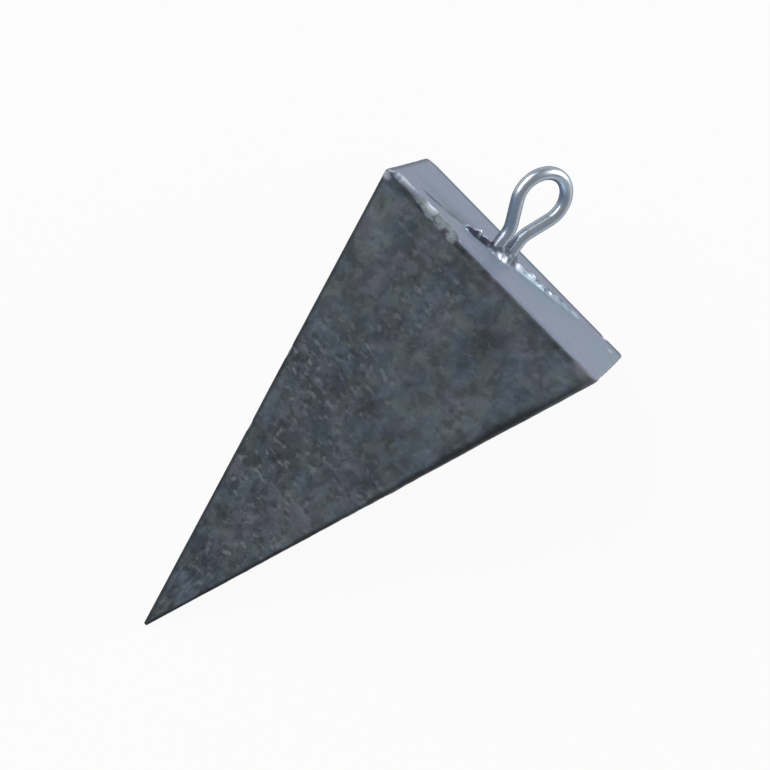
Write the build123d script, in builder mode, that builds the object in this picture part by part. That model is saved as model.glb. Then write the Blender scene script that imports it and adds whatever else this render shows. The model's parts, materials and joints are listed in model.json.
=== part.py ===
from build123d import *
from math import atan2, cos, degrees, hypot, radians, sin, sqrt
import os

# A pyramid surf sinker, in millimetres. It lies on one sloping face with +Z up. Its tip points along -X and its
# wire eye along +X, and the origin is on the ground under the middle of the whole sinker.

# Lead pyramid: side of the square base, height to the point where the faces would meet, width of the blunt tip
base_width = 25.4
body_height = 46.5
tip_width = 0.3

# Rounding at the base: the two edges deep in the mould halves, the two on the mould's seam, and the base's rim
mould_edge_radius = 1.3
seam_edge_radius = 0.4
rim_radius = 0.3
rim_limit_share = 0.8

# Wire eye above the base: wire, clear width inside the loop, gap between the legs, straight neck, bend out of it
wire_diameter = 1.2
loop_inner_width = 3.8
leg_gap = 0.45
neck_height = 1.95
neck_bend_radius = 2.2
flare_angle = 29

# Wire eye inside the casting: straight leg below the base, and the end that turns outwards to anchor it
leg_depth = 12.0
foot_bend_radius = 1.8
foot_angle = 65
foot_length = 2.5

# How the eye stands on the base: off the middle along and across the seam, and its lean each way in degrees
eye_offset_along = 1.4
eye_offset_across = 0.25
eye_lean_along = 5.2
eye_lean_across = 7.1

# Seam left by the two mould halves, a low ridge from corner to corner of the base
seam_width = 0.4
seam_height = 0.15
seam_slope = 55
seam_inset = 1.0

# Mound of lead drawn up round the two legs
mound_margin = 0.7
mound_height = 0.5
mound_slope = 40

# Stub of the cut gate, where the lead was poured in beside the eye: highest at the eye, and snipped off at a slant
gate_length = 5.0
gate_width = 1.2
gate_high = 0.5
gate_low = 0.25

# Fin of flash on the other side of the eye, which runs out in the same way
fin_length = 4.2
fin_width = 0.8
fin_high = 0.55
fin_low = 0.2

# Slope of the sides of the stub and the fin, from upright
ridge_slope = 15

# How far an added or cut shape runs past the surface that it starts from
overrun = 0.3

# The sinker lies on a face, so its axis rises from the ground by the angle between that face and the axis
face_angle = degrees(atan2(base_width / 2, body_height))
axis_x = cos(radians(face_angle))
axis_z = sin(radians(face_angle))
tip_depth = body_height * (1 - tip_width / base_width)

# Teardrop: straight runs that leave the neck at the flare angle and meet the round loop without a corner
wire_radius = wire_diameter / 2
loop_radius = (loop_inner_width + wire_diameter) / 2
leg_offset = (leg_gap + wire_diameter) / 2
flare_sin = sin(radians(flare_angle))
flare_cos = cos(radians(flare_angle))
flare_run = (loop_radius * flare_cos - leg_offset - neck_bend_radius * (1 - flare_cos)) / flare_sin
loop_height = neck_height + (neck_bend_radius + loop_radius) * flare_sin + flare_run * flare_cos

# The mound is as much larger than the two legs all round
mound_width = wire_diameter + 2 * mound_margin
mound_length = mound_width + 2 * leg_offset


def sinker_planes(base_x):
    """Base plane, with x along +Y and y up the base; seam plane, with x along the seam and y out of the base."""
    base_middle = (base_x, 0, base_width / 2 * axis_x)
    base = Plane(base_middle, x_dir=(0, 1, 0), z_dir=(axis_x, 0, axis_z))
    seam = Plane(base.location * Location((0, 0, 0), (0, 0, 45)) * Location((0, 0, 0), (90, 0, 0)))
    lean = Location((eye_offset_along, 0, eye_offset_across), (eye_lean_across, 0, -eye_lean_along))
    return base, seam, Plane(seam.location * lean)


def on_base(along, across):
    """Plane on the base at a spot along and across the seam, with x along the seam and z out of the base."""
    return Plane(seam_plane.location * Location((along, 0, across), (-90, 0, 0)))


# The origin is midway between the tip and the far side of the loop
eye_at_zero = sinker_planes(0)[2]
loop_reach = loop_radius * hypot(eye_at_zero.x_dir.X, eye_at_zero.y_dir.X) + wire_radius
eye_end = eye_at_zero.from_local_coords(Vector(0, loop_height, 0)).X + loop_reach
tip_end = tip_depth * axis_x + tip_width / 2 * axis_z
base_plane, seam_plane, eye_plane = sinker_planes((tip_end - eye_end) / 2)
base_axis = Axis(base_plane.origin, base_plane.z_dir)

os.makedirs("parts", exist_ok=True)

# Wire eye: half of the wire, from the top of the loop to the end of one leg, mirrored to make the other half
with BuildPart() as wire_eye:
    with BuildLine(eye_plane) as wire_line:
        crown = JernArc((0, loop_height + loop_radius), (1, 0), loop_radius, -90 - flare_angle)
        flare = PolarLine(crown @ 1, flare_run, direction=crown % 1)
        neck_bend = JernArc(flare @ 1, flare % 1, neck_bend_radius, flare_angle)
        leg = PolarLine(neck_bend @ 1, neck_height + leg_depth, direction=neck_bend % 1)
        foot_bend = JernArc(leg @ 1, leg % 1, foot_bend_radius, foot_angle)
        PolarLine(foot_bend @ 1, foot_length, direction=foot_bend % 1)
        mirror(about=Plane(eye_plane.origin, z_dir=eye_plane.x_dir))
    wire_route = wire_line.wire()
    with BuildSketch(Plane(wire_route @ 0, z_dir=wire_route % 0)):
        Circle(wire_radius)
    sweep(path=wire_route)

wire_eye.part.label = "wire_eye"
export_step(wire_eye.part, "parts/wire_eye.step")

# Lead body
with BuildPart() as lead_body:
    # Pyramid, where two wedges cross at right angles
    for side_plane, crossing in (
        (Plane(base_plane.origin, x_dir=base_plane.x_dir, z_dir=-base_plane.y_dir), Mode.ADD),
        (Plane(base_plane.origin, x_dir=base_plane.y_dir, z_dir=base_plane.x_dir), Mode.INTERSECT),
    ):
        with BuildSketch(side_plane):
            with BuildLine():
                Polyline(
                    (-base_width / 2, 0),
                    (base_width / 2, 0),
                    (tip_width / 2, -tip_depth),
                    (-tip_width / 2, -tip_depth),
                    close=True,
                )
            make_face()
        extrude(amount=base_width / 2, both=True, mode=crossing)

    # Sloping edges, rounded less and less towards the tip
    for side_x, side_y, edge_radius in (
        (1, 1, seam_edge_radius),
        (-1, -1, seam_edge_radius),
        (1, -1, mould_edge_radius),
        (-1, 1, mould_edge_radius),
    ):
        for depth, width in ((0, base_width), (tip_depth, tip_width)):
            radius = edge_radius * width / base_width
            with BuildSketch(base_plane.offset(-depth)):
                with Locations((side_x * width / 2, side_y * width / 2)):
                    Rectangle(2 * radius, 2 * radius)
                with Locations((side_x * (width / 2 - radius), side_y * (width / 2 - radius))):
                    Circle(radius, mode=Mode.SUBTRACT)
        loft(ruled=True, mode=Mode.SUBTRACT)

    # Rim of the base
    rim = lead_body.faces().sort_by(base_axis)[-1].edges()
    fillet(rim, radius=min(rim_radius, rim_limit_share * seam_edge_radius))

    # Seam ridge from corner to corner
    with BuildSketch(Plane(base_plane.origin, x_dir=-seam_plane.z_dir, z_dir=seam_plane.x_dir)):
        Trapezoid(seam_width, seam_height, seam_slope, align=(Align.CENTER, Align.MIN))
        Rectangle(seam_width, overrun, align=(Align.CENTER, Align.MAX))
    extrude(amount=base_width / sqrt(2) - seam_inset, both=True)

    # Gate stub and fin: each leaves the mound on its own side and falls from one height to another
    for side, length, width, high, low in (
        (-1, gate_length, gate_width, gate_high, gate_low),
        (1, fin_length, fin_width, fin_high, fin_low),
    ):
        near = eye_offset_along + side * (mound_length - width) / 2
        far = near + side * length
        with BuildSketch(on_base((near + far) / 2, eye_offset_across)):
            SlotOverall(length, width)
        extrude(amount=high, taper=ridge_slope)
        with BuildSketch(seam_plane.offset(eye_offset_across)):
            with BuildLine():
                Polyline((near, high), (far, low), (far, high + overrun), (near, high + overrun), close=True)
            make_face()
        extrude(amount=width / 2 + overrun, both=True, mode=Mode.SUBTRACT)

    # Mound round the legs, which joins the stub to the fin
    with BuildSketch(on_base(eye_offset_along, eye_offset_across)):
        SlotOverall(mound_length, mound_width)
    extrude(amount=mound_height, taper=mound_slope)

    # Channel cast round the wire
    add(wire_eye.part, mode=Mode.SUBTRACT)

lead_body.part.label = "lead_body"
export_step(lead_body.part, "parts/lead_body.step")
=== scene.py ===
import json
import math

import bmesh
import bpy
import numpy as np
from mathutils import Matrix, Vector, noise


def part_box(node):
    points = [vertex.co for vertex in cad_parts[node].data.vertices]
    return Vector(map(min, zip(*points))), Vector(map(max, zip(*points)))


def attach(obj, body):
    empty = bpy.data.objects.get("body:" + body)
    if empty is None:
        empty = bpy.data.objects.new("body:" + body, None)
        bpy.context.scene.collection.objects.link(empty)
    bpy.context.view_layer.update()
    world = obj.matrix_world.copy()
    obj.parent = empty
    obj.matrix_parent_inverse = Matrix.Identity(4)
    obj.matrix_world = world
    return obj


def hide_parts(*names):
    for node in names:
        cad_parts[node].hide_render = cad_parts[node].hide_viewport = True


# A cast lead pyramid sinker with a wire eye, dressed over its solids. Lengths are in millimetres up to the
# point where a mesh, a lamp or the camera is made, and angles are in degrees. Two numbers for how something
# fades say where it starts and where it is whole, and four also say where it is whole to and where it ends.

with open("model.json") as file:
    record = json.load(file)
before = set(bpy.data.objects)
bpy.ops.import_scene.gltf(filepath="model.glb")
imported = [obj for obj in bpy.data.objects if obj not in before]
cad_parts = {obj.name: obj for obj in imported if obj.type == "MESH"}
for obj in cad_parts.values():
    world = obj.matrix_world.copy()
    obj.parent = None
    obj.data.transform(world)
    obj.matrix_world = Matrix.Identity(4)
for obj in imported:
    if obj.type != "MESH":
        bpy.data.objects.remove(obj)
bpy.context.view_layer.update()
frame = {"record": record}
mm = 0.001

# Lead pyramid, as the solid has it
base_width = 25.4
body_height = 46.5
tip_width = 0.3
mould_edge_radius = 1.3
rim_radius = 0.3

# Edges where the mould halves met, a little sharper than in the solid
seam_edge_radius = 0.15

# Wire eye, as the solid has it
wire_diameter = 1.2
loop_inner_width = 3.8
leg_gap = 0.45
neck_height = 1.95
neck_bend_radius = 2.2
flare_angle = 29
leg_depth = 12.0
foot_bend_radius = 1.8
foot_angle = 65
foot_length = 2.5
eye_along = 1.4
eye_across = 0.25

# The body's own axes: x across, y up the base and z out of the base, with the origin at the base's middle
half_base = base_width / 2
face_slope = math.atan2(half_base, body_height)
tip_depth = body_height * (1 - tip_width / base_width)
across_axis = np.array([0, 1, 0])
up_axis = np.array([-math.sin(face_slope), 0, math.cos(face_slope)])
out_axis = np.array([math.cos(face_slope), 0, math.sin(face_slope)])
lead_low = np.array(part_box("lead_body")[0]) / mm
base_x = lead_low[0] + tip_depth * out_axis[0] + tip_width / 2 * out_axis[2]
base_middle = np.array([base_x, 0, half_base * out_axis[0]])

# Noise: how fast its finer layers fade, how much finer each is, and a seed for each axis
layer_fade = 1.0
layer_step = 2.0
axis_seeds = (0, 7, 13)


def to_row(points):
    """Points on the body's axes, turned to the frame that the solids are in."""
    return base_middle + points @ np.array([across_axis, up_axis, out_axis])


def smooth(low, high, value):
    """0 on the low side, 1 on the high side and a smooth rise between."""
    share = np.clip((value - low) / (high - low), 0, 1)
    return share * share * (3 - 2 * share)


def hump(value):
    """1 at zero, falling smoothly to 0 at 1 either way."""
    return 1 - smooth(0, 1, np.abs(value))


def between(stops, value):
    """1 between the inner two of four stops, 0 outside the outer two, and smooth between."""
    return smooth(stops[0], stops[1], value) * smooth(stops[3], stops[2], value)


def from_share(least, value):
    """A share that rises from its least to 1 while a value rises from 0 to 1."""
    return least + (1 - least) * value


def swung(value, middle, swing, least, most):
    """A share that swings about its middle with a value, held between its least and its most."""
    return np.clip(middle + swing * value, least, most)


def grain(points, size, layers=2, seed=0):
    """Noise at each point, about -1 to 1, with lumps of about that size."""
    places = (points / size + seed).tolist()
    return np.array([noise.fractal(place, layer_fade, layer_step, layers) for place in places])


def curled(points, size, reach, seed):
    """Points moved about by noise, so that a pattern laid on them curls."""
    moves = [grain(points, size, 1, seed + axis_seed) for axis_seed in axis_seeds]
    return points + reach * np.stack(moves, axis=1)


def line_grain(along, size, seed=0):
    """Noise that changes only along one direction."""
    return grain(np.stack([along, 0 * along, 0 * along], axis=1), size, seed=seed)


def add_object(name, data):
    """An object in the scene for a mesh, a camera or a lamp."""
    made = bpy.data.objects.new(name, data)
    bpy.context.scene.collection.objects.link(made)
    return made


def mesh_object(name, points, faces):
    """A smooth-shaded mesh from points in millimetres in the solids' frame."""
    mesh = bpy.data.meshes.new(name)
    mesh.from_pydata((np.asarray(points) * mm).tolist(), [], faces)
    mesh.shade_smooth()
    return add_object(name, mesh)


def add_mask(made, name, values):
    """A number at each point of a mesh, for its material to read."""
    layer = made.data.attributes.new(name, "FLOAT", "POINT")
    layer.data.foreach_set("value", np.ascontiguousarray(values, dtype=np.float32))


# Casting mesh: grid steps from the base's middle to its rim, then rings over the rim and down the sides
grid_reach = 56
rim_steps = 6
ring_step = 0.25
fewest_in_ring = 28
crowding_share = 0.25

# Where the mesh is finer: on the base by the eye, and on the rim by the burr
fine_eye_across = 1.7
fine_eye_span = (-6.5, 7.5)
fine_burr_start = 2.5
fine_burr_reach = 1.1
fine_burr_depth = 1.5


def on_square(steps):
    """Grid steps as places on a square of half-width 1, drawn towards its corners."""
    level = np.maximum(np.abs(steps).max(axis=1), 1)[:, None]
    places = steps / level
    return places + crowding_share * np.sin(np.pi * places) / np.pi


def rounded(places):
    """Places on a square, moved onto its rounded corners: two on the seam and two deep in the mould."""
    size = np.abs(places)
    edge = np.where(places[:, 0] * places[:, 1] > 0, seam_edge_radius, mould_edge_radius) / half_base
    from_corner = (1 - size).max(axis=1)
    turn = np.pi / 4 * np.clip(1 - from_corner / edge, 0, 1)
    wide = 1 - edge + edge * np.cos(turn)
    narrow = 1 - edge + edge * np.sin(turn)
    top_side = size[:, 1] >= size[:, 0]
    bent = np.where(np.stack([top_side, ~top_side], axis=1), narrow[:, None], wide[:, None])
    return np.where((from_corner < edge)[:, None], bent, size) * np.sign(places)


def ring_profile():
    """Half-width and height of each ring, over the round of the rim and down the sides to the tip."""
    middle = half_base - rim_radius * (1 + math.sin(face_slope)) / math.cos(face_slope)
    rings = []
    for step in range(rim_steps + 1):
        turn = math.pi / 2 - step / rim_steps * (math.pi / 2 + face_slope)
        rings.append((middle + rim_radius * math.cos(turn), rim_radius * (math.sin(turn) - 1)))
    start = rings[-1][1]
    count = math.ceil((tip_depth + start) / ring_step)
    for step in range(1, count + 1):
        height = start - step / count * (tip_depth + start)
        rings.append((half_base * (1 + height / body_height), height))
    return rings


def joined_rings(outer, inner):
    """Faces between two rings, where the inner one has as many points or half as many."""
    nexts = inner[1:] + inner[:1]
    if len(outer) == len(inner):
        return list(zip(outer, outer[1:] + outer[:1], nexts, inner))
    starts, middles = outer[0::2], outer[1::2]
    ends = starts[1:] + starts[:1]
    faces = list(zip(starts, middles, inner))
    faces += list(zip(middles, nexts, inner))
    return faces + list(zip(middles, ends, nexts))


def plain_casting():
    """Points and faces of the pyramid before any relief: a grid on the base, then rings down to the tip."""
    rings = ring_profile()
    line = np.arange(-grid_reach, grid_reach + 1)
    steps = np.stack(np.meshgrid(line, line, indexing="ij"), axis=2).reshape(-1, 2)
    level = np.abs(steps).max(axis=1)[:, None] / grid_reach
    flat = rounded(on_square(steps)) * level * rings[0][0]
    points = np.column_stack([flat, np.zeros(len(flat))]).tolist()
    width = len(line)
    faces = []
    for row in range(width - 1):
        for column in range(width - 1):
            corner = row * width + column
            faces.append((corner, corner + width, corner + width + 1, corner + 1))
    side = line[:-1]
    edge = np.full_like(side, grid_reach)
    around = [(-side, edge), (-edge, -side), (side, -edge), (edge, side)]
    around = np.concatenate([np.stack(pair, axis=1) for pair in around])
    outer = [(x + grid_reach) * width + y + grid_reach for x, y in around.tolist()]
    ring_places = rounded(on_square(around))
    for half, height in rings[1:]:
        every = 1
        while half < half_base / (2 * every) and len(around) // (2 * every) >= fewest_in_ring:
            every *= 2
        inner = list(range(len(points), len(points) + len(around) // every))
        points += [(half * x, half * y, height) for x, y in ring_places[::every].tolist()]
        faces += joined_rings(outer, inner)
        outer = inner
    points.append((0, 0, -tip_depth))
    faces += [(first, second, len(points) - 1) for first, second in zip(outer, outer[1:] + outer[:1])]
    return points, faces


def seam_places(x, y):
    """How far a place on the base is along the seam and across it. The same sums also lead back."""
    return (x + y) / math.sqrt(2), (x - y) / math.sqrt(2)


def near_rim(x, y, z):
    """How far a place is from the upper rim, inwards over the base or, below zero, down the upper face."""
    return half_base * (1 + z / body_height) - y + z / math.cos(face_slope)


def from_edges(points):
    """How far places on the sides are from the nearest sloping edge."""
    half = half_base * (1 + points[:, 2] / body_height)
    return half - np.abs(points[:, :2]).min(axis=1)


def split_faces(shape, wanted):
    """Splits each face in four where the place of its middle is wanted."""
    edges = {}
    for face in shape.faces:
        if wanted(*face.calc_center_median()):
            edges.update((edge, True) for edge in face.edges)
    bmesh.ops.subdivide_edges(shape, edges=list(edges), cuts=1, use_grid_fill=True)


def by_the_eye(x, y, z):
    """Whether a place is on the base by the eye, the fin or the gate stub."""
    along, across = seam_places(x, y)
    beside = abs(across - eye_across) < fine_eye_across
    return z > -rim_radius and beside and fine_eye_span[0] < along < fine_eye_span[1]


def by_the_burr(x, y, z):
    """Whether a place is on the stretch of rim that has the burr."""
    beside = abs(near_rim(x, y, z)) < fine_burr_reach
    return fine_burr_start < x and beside and y > half_base - fine_burr_depth


def fine_casting():
    """The plain pyramid with small faces by the eye and the burr: points, normals and faces."""
    points, faces = plain_casting()
    mesh = bpy.data.meshes.new("plain")
    mesh.from_pydata(points, [], faces)
    shape = bmesh.new()
    shape.from_mesh(mesh)
    bpy.data.meshes.remove(mesh)
    for wanted in (by_the_eye, by_the_eye, by_the_burr, by_the_burr):
        split_faces(shape, wanted)
    bmesh.ops.recalc_face_normals(shape, faces=shape.faces)
    shape.normal_update()
    shape.verts.index_update()
    points = np.array([vert.co for vert in shape.verts])
    normals = np.array([vert.normal for vert in shape.verts])
    faces = [[vert.index for vert in face.verts] for face in shape.faces]
    shape.free()
    return points, normals, faces


# Seam ridge from the eye to one corner of the base. Its breaks have a middle, a swing, a least and a most
seam_across = 0.6
seam_height = 0.34
seam_half_width = 0.8
seam_span = (-12.5, -10.5, 0, 2)
seam_wander, seam_wander_size = 0.15, 2.4
seam_break_size = 1.3
seam_break_shares = (0.75, 0.6, 0.2, 1.4)

# Fin of flash on one side of the eye and gate stub on the other: start and end along the seam, height at
# both, section from the foot of the front over the lip to the foot of the back, how uneven, and a seed
ridges = {
    "fin": ((1.9, 6.3), (0.58, 0.48), (-0.45, -0.15, 0.15, 0.7), 0.35, 9),
    "gate": ((0.4, -5.9), (0.62, 0.36), (-0.8, -0.15, 0.3, 0.9), 0.12, 3),
}
ridge_end_shares = (-0.2, 0.05, 0.92, 1.08)
ridge_lump_size = 0.9

# Hollow at the foot of the fin
hollow_depth = 0.22
hollow_across = -0.5
hollow_half_width = 0.3
hollow_span = (1.7, 2.4, 5, 6.7)

# Collar of lead round the two legs: place of each part along the seam and across from the base's middle,
# reach both ways and height
collar_parts = ((1.4, 0.25, 2.1, 1.3, 0.95), (0.1, 0.8, 1.2, 0.9, 1.05))
collar_slope_shares = (1.15, 0.45)
collar_lump_height, collar_lump_size = 0.18, 0.65
collar_lump_end_shares = (1.25, 0.8)

# Fold where the cooling lead ran together
fold_route = ((9.1, 6.1), (8.2, 5.4), (7.6, 5.3), (6.9, 4.8), (6.2, 3.6), (5.4, 3.7), (4.8, 3.2))
fold_depth = 0.12
fold_half_width = 0.85
fold_whole_share = 0.3
fold_wander, fold_wander_size = 0.35, 0.8
fold_deepest = (7.4, 8.4)
fold_break_size = 1.6
fold_break_shares = (0.45, 0.5, 0.1, 1)


def ridge(along, across, span, heights, section, uneven_share, seed):
    """Height of a ridge that runs along the seam from its high end to its low end."""
    way = (along - span[0]) / (span[1] - span[0])
    top = (heights[0] + (heights[1] - heights[0]) * way) * between(ridge_end_shares, way)
    top = top * (1 + uneven_share * line_grain(along, ridge_lump_size, seed))
    return top * between(section, across)


def route_distance(x, y, route):
    """How far places on the base are from a line through the points of a route."""
    nearest = np.full(len(x), np.inf)
    for (x1, y1), (x2, y2) in zip(route, route[1:]):
        length = math.hypot(x2 - x1, y2 - y1)
        way = np.clip(((x - x1) * (x2 - x1) + (y - y1) * (y2 - y1)) / length**2, 0, 1)
        nearest = np.minimum(nearest, np.hypot(x - x1 - way * (x2 - x1), y - y1 - way * (y2 - y1)))
    return nearest


def by_collar(x, y):
    """Height of the lead round the legs, and how far places are from it, where 1 is its side."""
    along, across = seam_places(x, y)
    height = np.zeros(len(x))
    nearest = np.full(len(x), np.inf)
    for part_along, part_across, reach_along, reach_across, rise in collar_parts:
        away = np.hypot((along - part_along) / reach_along, (across - part_across) / reach_across)
        height = np.maximum(height, rise * smooth(*collar_slope_shares, away))
        nearest = np.minimum(nearest, away)
    return height, nearest


def base_forms(x, y):
    """Places on the base along the seam and across from it, and how high or deep each form is there."""
    along, across = seam_places(x, y)
    flat = np.stack([along, across, 0 * along], axis=1)
    across = across - seam_across - seam_wander * line_grain(along, seam_wander_size)
    forms = {name: ridge(along, across, *values) for name, values in ridges.items()}
    seam = seam_height * swung(line_grain(along, seam_break_size, 5), *seam_break_shares)
    forms["seam"] = seam * hump(across / seam_half_width) * between(seam_span, along)
    forms["mound"] = by_collar(x, y)[0]
    forms["hollow"] = hump((across - hollow_across) / hollow_half_width) * between(hollow_span, along)
    bent_x = x + fold_wander * grain(flat, fold_wander_size, seed=83)
    fold = smooth(1, fold_whole_share, route_distance(bent_x, y, fold_route) / fold_half_width)
    broken = grain(flat, fold_break_size, seed=91) + smooth(*fold_deepest, x)
    forms["fold"] = fold * swung(broken, *fold_break_shares)
    return flat, along, across, forms


# Skins on the slopes of these forms: the form, where by its height, and where across from the seam
# front and shade are painted shade on the sides turned from the lamps, lip and crest carry painted
# highlights
slopes = {
    "front": ("fin", (0.03, 0.1), (-0.12, -0.24)),
    "lip": ("fin", (0.15, 0.3), (-0.18, -0.08)),
    "shade": ("seam", (0.03, 0.08), (0.05, 0.3)),
    "crest": ("seam", (0.05, 0.12), (0.15, 0)),
}

# Bright flecks, painted highlights on the seam's crest and bright snipped metal with painted highlights on
# the gate stub:
# the skin, how they are drawn out along the seam, their size, their level in the noise, and a seed
flecks = {
    "streaks": ("crest", (0.3, 1, 1), 0.5, (-0.35, 0.3), 13),
    "flakes": ("stub", (0.6, 1, 1), 0.6, (0.05, 0.35), 57),
}

# Gate stub: its snipped top, and painted shade in its crack and in its dents, these by place along and
# across from the seam, and radius
stub_rise = (0.1, 0.25)
crack_rise = (0.2, 0.4)
crack_along = -1.6
crack_half_length = 1.5
crack_half_width = 0.5
dents = ((-4.0, -0.2, 0.4), (-5.3, -0.5, 0.35))

# Painted shade behind the seam, along the far rim and along one side
behind_across = (0.3, 0.8, 1.4, 3.2)
behind_span = (-12, -9, -4.5, -2)
far_rim_reach = (2.4, 0.8)
side_rim_reach = (0.7, 0.35)

# How much painted shade, bright metal with painted highlights and roughness each of them has, and the height
# of the collar where the bright ones end
painted_shade_shares = {"hollow": 0.9, "fold": 0.9, "front": 0.95, "shade": 0.75, "crack": 0.7}
painted_shade_shares.update(dents=0.85, behind=0.5, outline=0.6)
bright_and_highlight_shares = {"lip": 0.36, "streaks": 0.4, "flakes": 0.5}
rough_shares = {"stub": 0.6, "crest": 0.4}
bright_end = (0.5, 0.1)

# Beads by the collar and on the seam, with painted highlights on their domes: place along the seam and
# across from it, radius and rise
beads = (
    (3.2, -1.35, 0.4, 0.12),
    (2.5, -1.55, 0.5, 0.14),
    (1.8, -1.65, 0.42, 0.12),
    (4.7, -0.05, 0.36, 0.2),
    (-3.5, 0.05, 0.5, 0.14),
    (-6.3, -0.1, 0.4, 0.08),
)
bead_top_share = 0.2
bead_ragged_share, bead_ragged_size = 0.4, 0.4
bead_clean_shares = (0.2, 0.7)

# Bright scratches by one corner: place across and up the base, reach both ways, and how bright
scratches = ((-10.3, -11.9, 0.28, 1.2, 1.0), (-11.5, -8.1, 0.4, 1.1, 0.4))
scratch_whole_share = 0.5


def add_skins(forms, x, y, flat, along, across):
    """Adds to the forms of the base how strong each kind of skin is."""
    for name, (form, rise, reach) in slopes.items():
        forms[name] = smooth(*rise, forms[form]) * smooth(*reach, across)
    forms["stub"] = smooth(*stub_rise, forms["gate"])
    for name, (skin, stretch, size, level, seed) in flecks.items():
        forms[name] = forms[skin] * smooth(*level, grain(flat * stretch, size, seed=seed))
    crack = hump((along - crack_along) / crack_half_length) * hump(across / crack_half_width)
    forms["crack"] = crack * smooth(*crack_rise, forms["gate"])
    dented = [hump(np.hypot(along - place, across - off) / radius) for place, off, radius in dents]
    forms["dents"] = np.maximum.reduce(dented)
    forms["behind"] = between(behind_across, across) * between(behind_span, along)
    far_rim = smooth(*far_rim_reach, y + half_base)
    forms["outline"] = np.maximum(far_rim, smooth(*side_rim_reach, half_base - x))


def strongest(forms, shares):
    """The strongest of some forms, each by its share."""
    return np.maximum.reduce([share * forms[name] for name, share in shares.items()])


def base_relief(x, y):
    """Height of what stands on the base, how much painted shade and bright metal with painted highlights
    there is, and how rough it is.
    """
    flat, along, across, forms = base_forms(x, y)
    add_skins(forms, x, y, flat, along, across)
    height = np.maximum.reduce([forms[name] for name in ("seam", "fin", "gate", "mound")])
    height = height - hollow_depth * forms["hollow"] - fold_depth * forms["fold"]
    # Painted shade in the hollow, fold, crack and dents, on the fin's front, behind the seam and along two
    # rims
    painted_shade = strongest(forms, painted_shade_shares)
    bright_and_highlight = strongest(forms, bright_and_highlight_shares) * smooth(*bright_end, forms["mound"])
    ragged = 1 + bead_ragged_share * grain(flat, bead_ragged_size, seed=43)
    for bead_along, bead_across, radius, rise in beads:
        apart = np.hypot(along - bead_along, across - bead_across) / radius
        dome = smooth(1, bead_top_share, apart * ragged)
        height = height + rise * dome
        # Painted highlight on each bead's dome
        bright_and_highlight = np.maximum(bright_and_highlight, dome)
        painted_shade = painted_shade * (1 - smooth(*bead_clean_shares, dome))
    rough = strongest(forms, rough_shares) * (1 - bright_and_highlight)
    for scratch_x, scratch_y, reach_x, reach_y, level in scratches:
        apart = np.hypot((x - scratch_x) / reach_x, (y - scratch_y) / reach_y)
        mark = level * smooth(1, scratch_whole_share, apart)
        bright_and_highlight = np.maximum(bright_and_highlight, mark)
        rough = np.maximum(rough, mark)
    return height, painted_shade, bright_and_highlight, rough


def point_normals(points, faces):
    """Normals of a mesh at its points."""
    mesh = bpy.data.meshes.new("relief")
    mesh.from_pydata(points.tolist(), [], faces)
    normals = np.empty(3 * len(points), dtype=np.float32)
    mesh.vertex_normals.foreach_get("vector", normals)
    bpy.data.meshes.remove(mesh)
    return normals.reshape(-1, 3)


def lumpy_collar(points, faces):
    """Points with the collar round the legs drawn into lumps, how near they are, and how high on a lump."""
    away = by_collar(points[:, 0], points[:, 1])[1]
    near = smooth(*collar_lump_end_shares, away) * (points[:, 2] > -rim_radius)
    lumps = near * grain(points, collar_lump_size, seed=37)
    return points + collar_lump_height * lumps[:, None] * point_normals(points, faces), near, lumps


# Lip of the burr on the upper rim, which reaches less far in towards one end
lip_span = (3.7, 12.3)
lip_end_shares = (0, 0.12, 0.93, 1)
lip_height = 0.34
lip_section = (-0.15, 0.12, 0.15)
lip_reach = 2.4
narrow_reach_share = 0.3
whole_reach_share = 0.6

# How uneven the lip's top and its foot are
lip_wave_share, lip_wave_size = 0.3, 2.0
lip_fine_share, lip_fine_size = 0.1, 0.6
lip_foot_share, lip_foot_size = 0.3, 1.5

# Lumps where the burr ran over the rim: place along the rim and down the face, reach both ways and height
rim_lumps = (
    (10.6, 0.1, 1.8, 0.35, 0.02),
    (8.6, 0.15, 1.3, 0.45, 0.05),
    (7.3, 0.25, 1.1, 0.6, 0.09),
    (6.2, 0.3, 0.85, 0.62, 0.09),
    (4.7, 0.4, 0.65, 0.62, 0.11),
)
rim_lump_slope_shares = (1.1, 0.1)
rim_lump_ragged_share, rim_lump_ragged_size = 0.45, 0.5
rim_lump_fine_share, rim_lump_fine_size = 0.6, 0.35

# Painted highlights on the lip: place along the rim, and reach
lip_spots = ((10.6, 1.5), (7.6, 1.1), (12.3, 0.5))
spot_inward = 0.2
spot_half_width = 0.4

# How far down the base the burr ends
burr_end = (4, 3)

# Painted highlight on a facet beside the burr's corner: its place and radius
facet_place = (12.2, 12.5, -0.55)
facet_radius = 0.6


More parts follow.
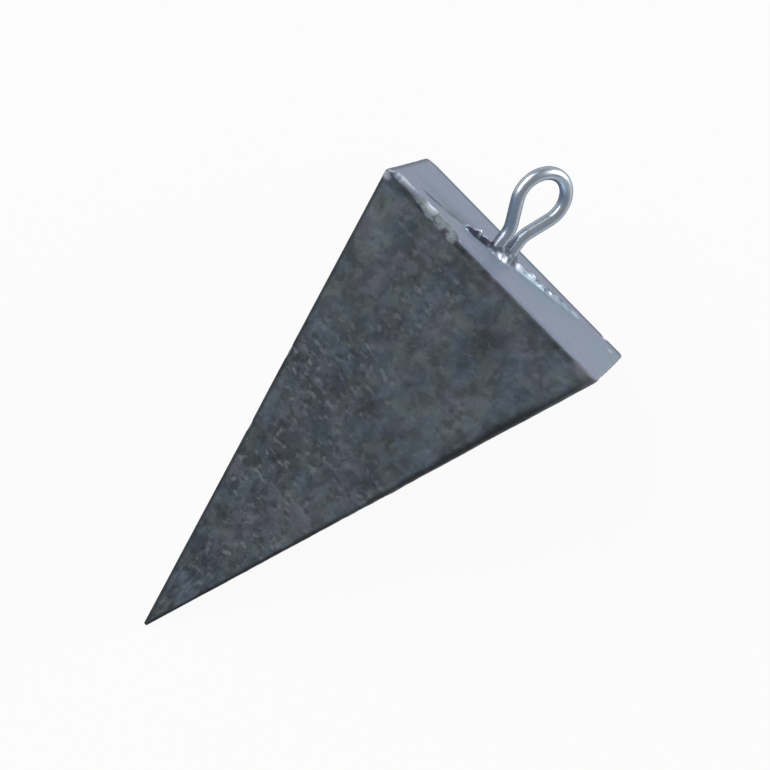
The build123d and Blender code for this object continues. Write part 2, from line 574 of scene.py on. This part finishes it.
def rim_relief(points):
    """Height of the lumps that ran over the rim, of the lip on the rim, and the painted highlights on the
    lip.
    """
    x, y, z = points.T
    inward = near_rim(x, y, z)
    ragged = 1 + rim_lump_ragged_share * grain(points, rim_lump_ragged_size, 3, 7)
    lumps = np.zeros(len(x))
    for lump_x, lump_down, reach_x, reach_down, rise in rim_lumps:
        away = np.hypot((x - lump_x) / reach_x, (inward + lump_down) / reach_down) * ragged
        lumps = np.hypot(lumps, rise * smooth(*rim_lump_slope_shares, away))
    lumps = lumps * (1 + rim_lump_fine_share * grain(points, rim_lump_fine_size, seed=103))
    way = (x - lip_span[0]) / (lip_span[1] - lip_span[0])
    uneven = 1 + lip_wave_share * line_grain(x, lip_wave_size, 29)
    uneven = uneven + lip_fine_share * grain(points, lip_fine_size, seed=61)
    reach = lip_reach * from_share(narrow_reach_share, smooth(0, whole_reach_share, way))
    reach = reach * (1 + lip_foot_share * line_grain(x, lip_foot_size, 67))
    lip = lip_height * uneven * between(lip_end_shares, way) * between((*lip_section, reach), inward)
    bright_and_highlight = sum(hump((x - spot_x) / spot_reach) for spot_x, spot_reach in lip_spots)
    bright_and_highlight = np.clip(bright_and_highlight, 0, 1) * hump((inward - spot_inward) / spot_half_width)
    upper = smooth(*burr_end, half_base - y)
    return lumps * upper, lip * upper, bright_and_highlight * upper


def patchwork(points, patches):
    """The sum of round patches on the sides, each by its place down and across, its radius and its level."""
    down = -points[:, 2] / math.cos(face_slope)
    total = np.zeros(len(points))
    for patch_down, patch_across, radius, level in patches:
        total = total + level * hump(np.hypot(down - patch_down, points[:, 0] - patch_across) / radius)
    return total


# Skin of the sides: broad waves, lumps, creases and pits, and how far the pattern curls
wave_height, wave_size = 0.05, 8.0
lump_height, lump_size = 0.065, 1.8
crease_height, crease_size = 0.06, 1.1
pit_depth, pit_size = 0.08, 1.2
pit_level = (0.3, 0.6)
pit_weight = 2
curl_reach, curl_size = 0.7, 2.2

# How much of the skin is left at the edges, and how far in from an edge and up from the tip it is whole
edge_skin_share = 0.12
edge_margin = 1.0
tip_margin = 4.0

# Wear of that skin
worn_share = 0.25
worn_swing_share, worn_size = 0.55, 6.5
least_worn_share = 0.1
plain_lump_share = 0.3

# Where the sides are worn most: place down from the rim and across, radius, and how much more
worn_patches = ((18, 4, 9, 0.45), (27, 2, 8, 0.45), (33, -1, 6, 0.45))


def side_relief(points):
    """Height of the cast skin on the sides, how worn it is, and how its hollows and crests lie."""
    worn = worn_share + worn_swing_share * grain(points, worn_size, seed=31)
    worn = np.clip(worn + patchwork(points, worn_patches), least_worn_share, 1)
    places = curled(points, curl_size, curl_reach, 41)
    lumps = grain(places, lump_size, 3, 3)
    creases = np.abs(grain(places, crease_size, seed=11))
    pits = smooth(*pit_level, grain(places, pit_size, seed=17)) * worn
    height = wave_height * grain(points, wave_size)
    height = height + lump_height * lumps * from_share(plain_lump_share, worn)
    height = height + crease_height * creases * worn - pit_depth * pits
    whole = from_share(edge_skin_share, smooth(0, edge_margin, from_edges(points)))
    whole = whole * smooth(0, tip_margin, tip_depth + points[:, 2])
    return height * whole, worn, lumps - pit_weight * pits


# Nicks: place, radius and depth
nicks = (
    ((7.78, 7.78, -18.0), 0.8, 0.3),
    ((5.74, 5.74, -25.5), 0.7, 0.25),
    ((-10.3, -12.6, 0), 0.5, 0.5),
    ((11.8, 12.6, -0.35), 0.55, 0.3),
    ((11.2, 12.6, -0.4), 0.5, 0.16),
)

# Corners knocked flat: a corner's place, the way it was struck, and how deep
knocks = (
    ((-12.3, 12.3, 0), (-0.45, 0.55, 0.7), 0.2),
    ((12.55, 12.55, 0), (0.65, 0.45, 0.6), 0.3),
    ((12.3, -12.3, 0), (0.5, -0.5, 0.7), 0.25),
)


def ball(points, place, radius):
    """1 at a place, falling smoothly to 0 at a radius round it."""
    return hump(np.linalg.norm(points - np.array(place), axis=1) / radius)


def knocked(points):
    """Points with the corners struck flat, and how far each one moved."""
    moved = np.zeros(len(points))
    for corner, way, depth in knocks:
        way = np.array(way) / np.linalg.norm(way)
        over = np.maximum(points @ way - np.dot(corner, way) + depth, 0)
        points = points - over[:, None] * way
        moved = np.maximum(moved, over)
    return points, moved


# Corner of the upper rim that is rubbed paler: its place and reach are along the rim and inwards from it
rubbed_place = (-11.6, 0.0)
rubbed_reach = (1.9, 1.1)
rubbed_side_shares = (1.1, 0.5)
rubbed_end = (2.2, 1.2)
rubbed_share = 0.8


def rubbed_corner(points):
    """How much the corner of the upper rim is rubbed."""
    along = (points[:, 0] - rubbed_place[0]) / rubbed_reach[0]
    inward = (near_rim(*points.T) - rubbed_place[1]) / rubbed_reach[1]
    level = smooth(*rubbed_side_shares, np.hypot(along, inward))
    return rubbed_share * level * smooth(*rubbed_end, -points[:, 2])


# Broad patches on the upper face: place down from the rim and across, radius, and how much lighter or darker
face_patches = (
    (3.6, 9.8, 4.25, 0.3),
    (6.8, 2.8, 2.5, 0.27),
    (6.3, -0.5, 2.25, 0.27),
    (8.0, -7.0, 3.25, 0.21),
    (2.6, -10.4, 3.0, 0.3),
    (13.3, -5.6, 3.75, 0.24),
    (30.0, -3.0, 3.75, 0.18),
    (36.3, 0.6, 2.75, 0.15),
    (5.5, -3.4, 2.5, -0.24),
    (1.5, 7.5, 2.75, -0.21),
    (17.0, 0.5, 3.0, -0.18),
    (19.0, 6.0, 3.5, -0.24),
    (38.5, 1.0, 3.25, -0.21),
    (10.0, 1.5, 2.75, -0.18),
    (27.0, 3.2, 3.25, -0.18),
)
upper_face_shares = (0.5, 0.8)

# Painted shade in a dark band on the rounded edges that lie deep in the mould
band_width = 0.36
band_widest = 1.0
band_middle = 11.0
band_half_length = 10.5
band_uneven_share, band_uneven_size = 0.5, 2.5
band_side_shares = (1.3, 0.3)

# Thin dark line on the edges where the mould halves met
seam_line_share = 0.8
seam_line_end = (0.45, 0.1)

# Painted shade in a broken dark line below the upper rim
rim_line_down = 0.5
rim_line_half_width = 0.4
rim_line_end = (3, 2)
rim_line_break_size = 2.2
rim_line_break_shares = (0.55, 0.7, 0.1, 0.9)


def edge_shade_and_lines(points):
    """Painted shade in bands on the edges deep in the mould and in a broken line below the rim, and thin
    dark lines on the two other edges.
    """
    x, y, z = points.T
    away = from_edges(points)
    width = band_width + (band_widest - band_width) * hump((-z - band_middle) / band_half_length)
    width = width * (1 + band_uneven_share * grain(points, band_uneven_size, seed=59))
    band = smooth(*band_side_shares, away / width) * (x * y < 0)
    seam_line = seam_line_share * smooth(*seam_line_end, away) * (x * y > 0)
    rim_line = hump((near_rim(x, y, z) + rim_line_down) / rim_line_half_width)
    rim_line = rim_line * smooth(*rim_line_end, half_base - y)
    rim_line = rim_line * swung(line_grain(x, rim_line_break_size, 71), *rim_line_break_shares)
    return np.maximum.reduce([band, seam_line, rim_line])


# Poured skin, by how far a surface faces out of the base
poured_shares = (0.25, 0.98)
poured_ragged_share, poured_ragged_size = 0.15, 1.1

# Grey of the burr, which is less towards the corner
burr_lump_rise = (0.02, 0.06)
burr_lip_rise = (0.03, 0.12)
burr_inward = (0.5, 0.25)
corner_burr_share = 0.5
corner_burr_end = (9.5, 8)

# Grey of the collar, and painted shade low between its lumps, which stays off the bright metal
collar_burr_share = 0.9
collar_shade_share = 0.75
collar_shade_level = (0.35, -0.2)
clean_bright_shares = (0.6, 0.9)

# Painted shade along the upper rim: how much, and how far in over the base
rim_shade_share = 0.35
rim_shade_reach = 1.1

# How far a corner was struck where that shows, and how far below the base the lines along the tip start
struck_depth = (0.02, 0.15)
tip_lines_start = (33, 41)

# How metallic the poured skin is, and how much more so its bright metal
poured_metal_share = 0.6
bright_metal_share = 0.35


def burr_grey_level(points, lumps, lip):
    """How grey the burr is, on its lumps and along its lip."""
    along = from_share(corner_burr_share, smooth(*corner_burr_end, points[:, 0]))
    on_lip = smooth(*burr_lip_rise, lip) * smooth(*burr_inward, near_rim(*points.T)) * along
    return np.maximum(smooth(*burr_lump_rise, lumps), on_lip)


def sculpted_casting():
    """The casting with its relief, and the masks that its material reads."""
    points, normals, faces = fine_casting()
    ragged = poured_ragged_share * grain(points, poured_ragged_size, seed=47)
    poured = smooth(*poured_shares, normals[:, 2] + ragged)
    skin, worn, hollows = side_relief(points)
    lumps, lip, painted_highlight = rim_relief(points)
    rise, painted_shade, bright_and_highlight, rough = base_relief(points[:, 0], points[:, 1])
    burr = burr_grey_level(points, lumps, lip)
    patches = patchwork(points, face_patches) * smooth(*upper_face_shares, normals[:, 1])
    # Painted shade on the edges and below the rim, with thin dark lines on the two other edges
    edges = edge_shade_and_lines(points) * (1 - poured)
    rubbed = rubbed_corner(points)
    facet_highlight = ball(points, facet_place, facet_radius)
    # Painted shade on the base just inside the upper rim
    rim_shade = rim_shade_share * smooth(rim_shade_reach, 0, near_rim(*points.T))
    tip = smooth(*tip_lines_start, -points[:, 2])

    relief = skin * (1 - poured) + lumps
    relief = relief - sum(depth * ball(points, place, radius) for place, radius, depth in nicks)
    points = points + normals * relief[:, None]
    points[:, 2] += rise * poured + lip
    points, collar, collar_lumps = lumpy_collar(points, faces)
    points, moved = knocked(points)
    placed = to_row(points)
    placed[:, 2] = np.maximum(placed[:, 2], 0)
    made = mesh_object("lead_casting", placed, faces)

    burr = np.maximum.reduce([burr, collar_burr_share * collar, rough * poured])
    poured = poured * (1 - rubbed)
    struck = np.maximum(smooth(*struck_depth, moved) * (1 - poured), rubbed)
    # Painted highlights on the lip and on the facet
    painted_highlight = np.maximum(painted_highlight, facet_highlight)
    # Bright snipped and scratched metal with painted highlights
    bright_and_highlight = np.maximum(bright_and_highlight * poured, painted_highlight)
    # Painted shade in the creases between the collar's lumps
    collar_shade = collar_shade_share * collar * smooth(*collar_shade_level, collar_lumps)
    collar_shade = collar_shade * (1 - smooth(*clean_bright_shares, bright_and_highlight))
    rim_shade = rim_shade * (1 - burr) * (1 - painted_highlight)
    painted_shade = np.maximum.reduce([painted_shade * poured, collar_shade, rim_shade])
    poured = np.maximum.reduce([poured, burr, facet_highlight])
    metal = np.clip(poured_metal_share * poured * (1 - burr) + bright_metal_share * bright_and_highlight, 0, 1)
    masks = dict(poured=poured, burr=burr, metal=metal, painted_shade=painted_shade, bright_and_highlight=bright_and_highlight, worn=worn)
    masks.update(hollows=hollows, patches=patches, edges=edges, tip=tip, struck=struck)
    for name, values in masks.items():
        add_mask(made, name, values)
    return made


# Wire mesh: step along the wire, points round it, and how far the drawn wire departs from a true circle
wire_step = 0.12
wire_sides = 28
wire_wobble_share, wire_wobble_size = 0.006, 1.5


def wire_route():
    """Places in the eye's plane and headings along the whole wire, from one foot's end to the other's."""
    loop_radius = (loop_inner_width + wire_diameter) / 2
    leg_offset = (leg_gap + wire_diameter) / 2
    flare = math.radians(flare_angle)
    flare_run = loop_radius * math.cos(flare) - leg_offset - neck_bend_radius * (1 - math.cos(flare))
    flare_run = flare_run / math.sin(flare)
    flare_height = (neck_bend_radius + loop_radius) * math.sin(flare) + flare_run * math.cos(flare)
    crown = math.pi / 2 + flare
    foot = math.radians(foot_angle)
    stretches = (
        (loop_radius * crown, -crown),
        (flare_run, 0),
        (neck_bend_radius * flare, flare),
        (neck_height + leg_depth, 0),
        (foot_bend_radius * foot, foot),
        (foot_length, 0),
    )
    heading = 0
    place = np.array([0, neck_height + flare_height + loop_radius])
    route = [(*place, heading)]
    for length, turn in stretches:
        count = math.ceil(length / wire_step)
        for _ in range(count):
            middle = heading + turn / count / 2
            place = place + length / count * np.array([math.cos(middle), math.sin(middle)])
            heading += turn / count
            route.append((*place, heading))
    half = np.array(route)
    other = half[:0:-1] * (-1, 1, -1)
    return np.concatenate([other, half])


def wire_mesh():
    """The wire as a closed tube, a little out of round."""
    route = wire_route()
    mount = next(mount for mount in frame["record"]["mounts"] if mount["name"] == "line_eye")
    loop_middle = np.array(mount["pos_m"]) / mm
    eye_out = np.array(mount["axis"])
    foot_x, foot_y = seam_places(eye_along, eye_across)
    foot = to_row(np.array([foot_x, foot_y, 0]))
    eye_up = (loop_middle - foot) / np.linalg.norm(loop_middle - foot)
    eye_side = np.cross(eye_up, eye_out)
    centre = foot + route[:, :1] * eye_side + route[:, 1:2] * eye_up
    normal = -np.sin(route[:, 2:]) * eye_side + np.cos(route[:, 2:]) * eye_up
    along = wire_step * np.arange(len(route))
    angle = 2 * np.pi * np.arange(wire_sides) / wire_sides
    ring = np.cos(angle)[:, None] * normal[:, None, :] + np.sin(angle)[:, None] * eye_out
    points = (centre[:, None, :] + wire_diameter / 2 * ring).reshape(-1, 3)
    wobble = wire_wobble_share * grain(points, wire_wobble_size, seed=21)
    points = points + wire_diameter / 2 * wobble[:, None] * ring.reshape(-1, 3)
    faces = []
    for row in range(len(route) - 1):
        first = list(range(row * wire_sides, (row + 1) * wire_sides))
        second = [index + wire_sides for index in first]
        faces += list(zip(first, first[1:] + first[:1], second[1:] + second[:1], second))
    last = (len(route) - 1) * wire_sides
    faces.append(list(range(wire_sides))[::-1])
    faces.append(list(range(last, last + wire_sides)))
    made = mesh_object("wire_eye_drawn", points, faces)
    add_mask(made, "along", np.repeat(along, wire_sides))
    add_mask(made, "around_a", np.tile(np.cos(angle), len(route)))
    add_mask(made, "around_b", np.tile(np.sin(angle), len(route)))
    return made


def new_material(name):
    """A material with only its shader, and its node tree."""
    material = bpy.data.materials.new(name)
    material.use_nodes = True
    return material, material.node_tree


def join(tree, value, socket):
    """Sets a socket to a value, or links it to an output."""
    if isinstance(value, bpy.types.NodeSocket):
        tree.links.new(value, socket)
    else:
        socket.default_value = value


def set_inputs(tree, made, **inputs):
    """Sets the inputs of a node to values, or links them to outputs."""
    for name, value in inputs.items():
        join(tree, value, made.inputs[name.replace("_", " ")])


def add_node(tree, kind, settings=None, **inputs):
    """A shader node with some of its settings, and its inputs set to a value or linked to an output."""
    made = tree.nodes.new("ShaderNode" + kind)
    for name, value in (settings or {}).items():
        setattr(made, name, value)
    set_inputs(tree, made, **inputs)
    return made


def colour_mix(tree, share, first, second, blend="MIX"):
    """One colour over another, by a share."""
    made = tree.nodes.new("ShaderNodeMix")
    made.data_type = "RGBA"
    made.blend_type = blend
    join(tree, share, made.inputs[0])
    join(tree, first, made.inputs[6])
    join(tree, second, made.inputs[7])
    return made.outputs[2]


def spread(tree, value, start, end, low=0, high=1):
    """A value as low where it starts, high where it ends, and held between the two."""
    inputs = {"Value": value, "From_Min": start, "From_Max": end, "To_Min": low, "To_Max": high}
    return add_node(tree, "MapRange", **inputs).outputs[0]


def maths(tree, operation, first, second):
    """A sum, product or other operation on two values."""
    made = tree.nodes.new("ShaderNodeMath")
    made.operation = operation
    join(tree, first, made.inputs[0])
    join(tree, second, made.inputs[1])
    return made.outputs[0]


def mask(tree, name):
    """A number that the mesh holds at each point."""
    return add_node(tree, "Attribute", {"attribute_name": name}).outputs["Fac"]


def body_places(tree):
    """Places on the object in millimetres on the body's axes: out of the base, across and up the base."""
    place = add_node(tree, "TexCoord").outputs["Object"]
    inputs = {"Vector": place, "Rotation": (0, face_slope, 0), "Scale": (1 / mm, 1 / mm, 1 / mm)}
    return add_node(tree, "Mapping", **inputs).outputs[0]


def drawn_out(tree, places, stretch, shift=0):
    """Places drawn out along an axis where its stretch is under 1, and shifted within a pattern."""
    return add_node(tree, "Mapping", Vector=places, Location=(shift, shift, shift), Scale=stretch).outputs[0]


def noise_value(tree, places, scale, detail=3, roughness=0.5, curl=0.0):
    """Noise with lumps of 1 / scale millimetres."""
    inputs = {"Vector": places, "Scale": scale, "Detail": detail, "Roughness": roughness, "Distortion": curl}
    return add_node(tree, "TexNoise", **inputs).outputs["Fac"]


def pattern(tree, places, start, end, low=0, high=1, shift=0, **noise_inputs):
    """Noise as low where it starts and high where it ends, shifted to a part of its own."""
    if shift:
        places = drawn_out(tree, places, (1, 1, 1), shift)
    return spread(tree, noise_value(tree, places, **noise_inputs), start, end, low, high)


# Lead colours
lead_green = (0.071, 0.0855, 0.088, 1)
lead_blue = (0.068, 0.084, 0.105, 1)
lead_purple = (0.079, 0.083, 0.1015, 1)
# Painted light on the lit side of small marks
lit_mark_lead = (0.165, 0.18, 0.2, 1)
# Painted shade in hollows and pits, and beside the marks
shaded_lead = (0.034, 0.04, 0.047, 1)
# Painted shade on the rounded edges and below the rim, also used for the thin edge lines
edge_shade_dark = (0.024, 0.027, 0.032, 1)
poured_cool = (0.265, 0.35, 0.425, 1)
poured_warm = (0.3, 0.34, 0.455, 1)
burr_grey = (0.185, 0.215, 0.235, 1)
burr_dark = (0.07, 0.082, 0.1, 1)
# Painted shade on the base, in its hollows and creases and on sides turned from the lamps
painted_shade_dark = (0.04, 0.043, 0.07, 1)
# Bright snipped and scratched metal, also used for painted highlights
bright_lead_and_highlight = (0.62, 0.65, 0.74, 1)
struck_grey = (0.14, 0.145, 0.175, 1)
lead_edge_tint = (0.05, 0.06, 0.08, 1)

# Patterns on the sides: blue and purple patches, light and dark of two sizes, and lines along the tip
blue_patches = dict(scale=0.4, start=0.4, end=0.56)
purple_patches = dict(scale=0.34, start=0.5, end=0.62, shift=31)
tones = dict(scale=0.75, detail=2.5, curl=0.5, start=0.41, end=0.59, low=0.83, high=1.15)
clouds = dict(scale=0.28, start=0.42, end=0.58, low=-0.11, high=0.11, shift=53)
tip_lines = dict(scale=3.4, detail=2, start=0.35, end=0.65, low=-0.3, high=0.3)
tip_line_stretch = (0.12, 1, 1)

# Short ragged marks on the sides, painted as pale lit sides with painted shade beside them, and how strong
# they are by wear
lit_mark_noise = dict(scale=1.7, curl=0.2, start=0.56, end=0.7, shift=5)
shaded_mark_noise = dict(scale=1.7, curl=0.2, start=0.54, end=0.66, shift=4.74)
mark_stretch = (1, 0.7, 1)
marks_by_wear = dict(start=0.15, end=0.75, low=0.2, high=0.66)

# How dark the painted shade is in the hollows of the sides, and how dark their edges are
hollow_shade = dict(start=-0.25, end=-1.1, high=0.55)
edge_shade_share = 0.9

# Patterns on the poured skin: smears of warm on cool, stains, and mottle on the burr
smears = dict(scale=0.18, detail=2, start=0.38, end=0.62)
stain_noise = dict(scale=0.9, detail=4, roughness=0.6, curl=0.5)
stain_tones = dict(start=0.3, end=0.7, low=0.93, high=1.06)
mottle = dict(scale=2.0, start=0.48, end=0.66, high=0.8)

# Sheen of the sides, of the poured skin and of the burr
side_roughness = dict(scale=1.4, detail=2, start=0.3, end=0.7, low=0.45, high=0.62)
poured_roughness = 0.38
burr_roughness = 0.6
side_reflection = 0.25
poured_reflection = 0.5

# Fine relief with the marks in it, weaker on the poured skin
fine_noise = dict(scale=1.5, detail=2.5, curl=0.6)
fine_height = 0.16
mark_height_share = 0.3
fine_strength = dict(start=0, end=0.6, low=0.5, high=0.08)


def grey(tree, value):
    """A value as a grey colour."""
    return add_node(tree, "CombineColor", Red=value, Green=value, Blue=value).outputs[0]


def side_colour(tree, places, light, dark):
    """Dark oxide in greenish, bluish and purplish patches, with marks painted lit and shaded, painted shade
    in the hollows and on the edges, and lines along the tip.
    """
    colour = colour_mix(tree, pattern(tree, places, **blue_patches), lead_green, lead_blue)
    colour = colour_mix(tree, pattern(tree, places, **purple_patches), colour, lead_purple)
    lines = pattern(tree, drawn_out(tree, places, tip_line_stretch), **tip_lines)
    tone = maths(tree, "ADD", pattern(tree, places, **clouds), mask(tree, "patches"))
    tone = maths(tree, "ADD", pattern(tree, places, **tones), tone)
    tone = maths(tree, "ADD", tone, maths(tree, "MULTIPLY", lines, mask(tree, "tip")))
    colour = colour_mix(tree, 1.0, colour, grey(tree, tone), "MULTIPLY")
    # Painted shade in the hollows and pits of the relief
    colour = colour_mix(tree, spread(tree, mask(tree, "hollows"), **hollow_shade), colour, shaded_lead)
    # Painted shade beside the marks, then painted light on them
    colour = colour_mix(tree, dark, colour, shaded_lead)
    colour = colour_mix(tree, light, colour, lit_mark_lead)
    # Painted shade on the edges
    edges = maths(tree, "MULTIPLY", mask(tree, "edges"), edge_shade_share)
    colour = colour_mix(tree, edges, colour, edge_shade_dark)
    return colour_mix(tree, mask(tree, "struck"), colour, struck_grey)


def poured_colour(tree, places):
    """The paler skin of the poured base, with its burr, its painted shade and its bright snipped metal with
    painted highlights.
    """
    colour = colour_mix(tree, pattern(tree, places, **smears), poured_cool, poured_warm)
    stain = pattern(tree, places, **stain_noise, **stain_tones)
    colour = colour_mix(tree, 1.0, colour, grey(tree, stain), "MULTIPLY")
    burr = colour_mix(tree, pattern(tree, places, **mottle), burr_grey, burr_dark)
    colour = colour_mix(tree, mask(tree, "burr"), colour, burr)
    # Painted shade, then bright metal with painted highlights
    colour = colour_mix(tree, mask(tree, "painted_shade"), colour, painted_shade_dark)
    return colour_mix(tree, mask(tree, "bright_and_highlight"), colour, bright_lead_and_highlight)


def lead_material():
    """Cast lead: dark mottled oxide with marks painted lit and shaded on the sides, paler and smoother where
    it was poured.
    """
    material, tree = new_material("lead_cast")
    places = body_places(tree)
    poured = mask(tree, "poured")
    worn = spread(tree, mask(tree, "worn"), **marks_by_wear)
    mark_places = drawn_out(tree, places, mark_stretch)
    # Marks painted as the lit and shaded sides of small bumps, which also go into the fine relief
    light = maths(tree, "MULTIPLY", pattern(tree, mark_places, **lit_mark_noise), worn)
    dark = maths(tree, "MULTIPLY", pattern(tree, mark_places, **shaded_mark_noise), worn)
    side = side_colour(tree, places, light, dark)
    colour = colour_mix(tree, poured, side, poured_colour(tree, places))
    roughness = add_node(tree, "Mix")
    join(tree, poured, roughness.inputs[0])
    join(tree, pattern(tree, places, **side_roughness), roughness.inputs[2])
    join(tree, spread(tree, mask(tree, "burr"), 0, 1, poured_roughness, burr_roughness), roughness.inputs[3])
    marks = maths(tree, "MULTIPLY", maths(tree, "SUBTRACT", light, dark), mark_height_share)
    fine = maths(tree, "ADD", noise_value(tree, places, **fine_noise), marks)
    strength = spread(tree, poured, **fine_strength)
    bump = add_node(tree, "Bump", Strength=strength, Distance=fine_height * mm, Height=fine).outputs[0]
    reflection = spread(tree, poured, 0, 1, side_reflection, poured_reflection)
    shader = tree.nodes["Principled BSDF"]
    set_inputs(tree, shader, Base_Color=colour, Roughness=roughness.outputs[0], Normal=bump)
    set_inputs(tree, shader, Metallic=mask(tree, "metal"), Specular_IOR_Level=reflection)
    shader.inputs["Specular Tint"].default_value = lead_edge_tint
    return material


# Zinc plating: its colours and edge tint, its cloudy bloom, die lines along the wire, and grit
zinc_cool = (0.43, 0.49, 0.565, 1)
zinc_pale = (0.475, 0.535, 0.6, 1)
zinc_edge_tint = (0.1, 0.12, 0.16, 1)
bloom = dict(scale=0.9, start=0.35, end=0.65)
bloom_roughness = dict(scale=0.9, start=0.3, end=0.7, low=0.28, high=0.35)
die_lines = dict(scale=3, detail=1, start=0.3, end=0.7, high=0.04)
die_line_share = 0.05
grit = dict(scale=5, detail=2)
grit_height = 0.02
grit_strength = 0.03


def wire_material():
    """Bright zinc plating on drawn wire: faint die lines along it and a cloudy bloom."""
    material, tree = new_material("zinc_plated_wire")
    places = body_places(tree)
    along = maths(tree, "MULTIPLY", mask(tree, "along"), die_line_share)
    around = {"X": mask(tree, "around_a"), "Y": mask(tree, "around_b")}
    drawn = add_node(tree, "CombineXYZ", Z=along, **around).outputs[0]
    colour = colour_mix(tree, pattern(tree, places, **bloom), zinc_cool, zinc_pale)
    cloudy = pattern(tree, places, **bloom_roughness)
    roughness = maths(tree, "ADD", cloudy, pattern(tree, drawn, **die_lines))
    height = noise_value(tree, places, **grit)
    relief = {"Strength": grit_strength, "Distance": grit_height * mm, "Height": height}
    bump = add_node(tree, "Bump", **relief).outputs[0]
    shader = tree.nodes["Principled BSDF"]
    shader.inputs["Metallic"].default_value = 1.0
    shader.inputs["Specular Tint"].default_value = zinc_edge_tint
    set_inputs(tree, shader, Base_Color=colour, Roughness=roughness, Normal=bump)
    return material


def direction(bearing, height):
    """A unit vector from a bearing, counted from +X towards +Y, and a height, both in degrees."""
    bearing, height = math.radians(bearing), math.radians(height)
    flat = math.cos(height)
    return Vector((flat * math.cos(bearing), flat * math.sin(bearing), math.sin(height)))


# Camera: where it looks, from which bearing, height and distance, how far it is rolled, and its lens
look_at = (2.58, 0.02, 12.25)
camera_bearing = 199.96
camera_height = 83.97
camera_roll = 25.87
camera_distance = 351.7
lens_length = 189.1
sensor_width = 36


def place_camera():
    """The camera, turned so that the base lies to the upper right."""
    data = bpy.data.cameras.new("camera")
    data.lens = lens_length
    data.sensor_width = sensor_width
    camera = add_object("camera", data)
    back = direction(camera_bearing, camera_height)
    level = Vector((-back.y, back.x, 0)).normalized()
    turn = math.radians(camera_roll)
    right = level * math.cos(turn) + back.cross(level) * math.sin(turn)
    axes = Matrix((right, back.cross(right), back)).transposed()
    place = Matrix.Translation((Vector(look_at) + back * camera_distance) * mm)
    camera.matrix_world = place @ axes.to_4x4()
    bpy.context.scene.camera = camera


# Soft lamps: bearing, height, distance, width, tallness and level
lamps = {
    "high_lamp": (100, 47, 600, 560, 300, 1.0),
    "low_lamp": (330, 11, 600, 360, 200, 0.95),
    "fill_lamp": (55, 42, 600, 300, 260, 0.08),
}

# Room and floor, which is mostly white where it is seen and has its own tone where it sends light back
white = (1, 1, 1, 1)
room_level = 0.36
floor_drop = 0.02
floor_reach = 1500
floor_tone = 0.45
floor_white_share = 0.94


def place_lamp(name, bearing, height, distance, width, tallness, level):
    """A lamp turned to the sinker. At level 1 it lights a white surface that faces it to white."""
    data = bpy.data.lights.new(name, "AREA")
    data.shape = "RECTANGLE"
    data.size = width * mm
    data.size_y = tallness * mm
    data.energy = level * (math.pi * distance * mm) ** 2
    lamp = add_object(name, data)
    out = direction(bearing, height)
    lamp.location = (Vector(look_at) + out * distance) * mm
    lamp.rotation_euler = out.to_track_quat("Z", "Y").to_euler()


def make_room():
    """A plain even room."""
    world = bpy.data.worlds.new("room")
    bpy.context.scene.world = world
    world.use_nodes = True
    background = world.node_tree.nodes["Background"]
    background.inputs["Color"].default_value = white
    background.inputs["Strength"].default_value = room_level


def make_floor():
    """A pale floor that keeps the shadow. Seen straight or by reflection, it is nearer to white."""
    reach = floor_reach * mm
    corners = [(-reach, -reach), (reach, -reach), (reach, reach), (-reach, reach)]
    mesh = bpy.data.meshes.new("floor")
    mesh.from_pydata([(x, y, -floor_drop * mm) for x, y in corners], [], [(0, 1, 2, 3)])
    floor = add_object("floor", mesh)
    material, tree = new_material("floor_paper")
    tree.nodes.remove(tree.nodes["Principled BSDF"])
    rays = add_node(tree, "LightPath").outputs
    seen = maths(tree, "MAXIMUM", rays["Is Camera Ray"], rays["Is Glossy Ray"])
    seen = maths(tree, "MAXIMUM", seen, rays["Is Transmission Ray"])
    share = maths(tree, "MULTIPLY", seen, floor_white_share)
    paper = add_node(tree, "BsdfDiffuse", Color=(floor_tone, floor_tone, floor_tone, 1)).outputs[0]
    glow = add_node(tree, "Emission", Color=white, Strength=1.0).outputs[0]
    shown = tree.nodes.new("ShaderNodeMixShader")
    for value, socket in zip((share, paper, glow), shown.inputs):
        join(tree, value, socket)
    join(tree, shown.outputs[0], tree.nodes["Material Output"].inputs["Surface"])
    mesh.materials.append(material)


casting = sculpted_casting()
casting.data.materials.append(lead_material())
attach(casting, "root")
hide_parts("lead_body")

wire = wire_mesh()
wire.data.materials.append(wire_material())
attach(wire, "root")
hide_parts("wire_eye")

make_floor()
make_room()
for lamp_name, lamp_values in lamps.items():
    place_lamp(lamp_name, *lamp_values)
place_camera()
bpy.context.scene.view_settings.view_transform = "Standard"
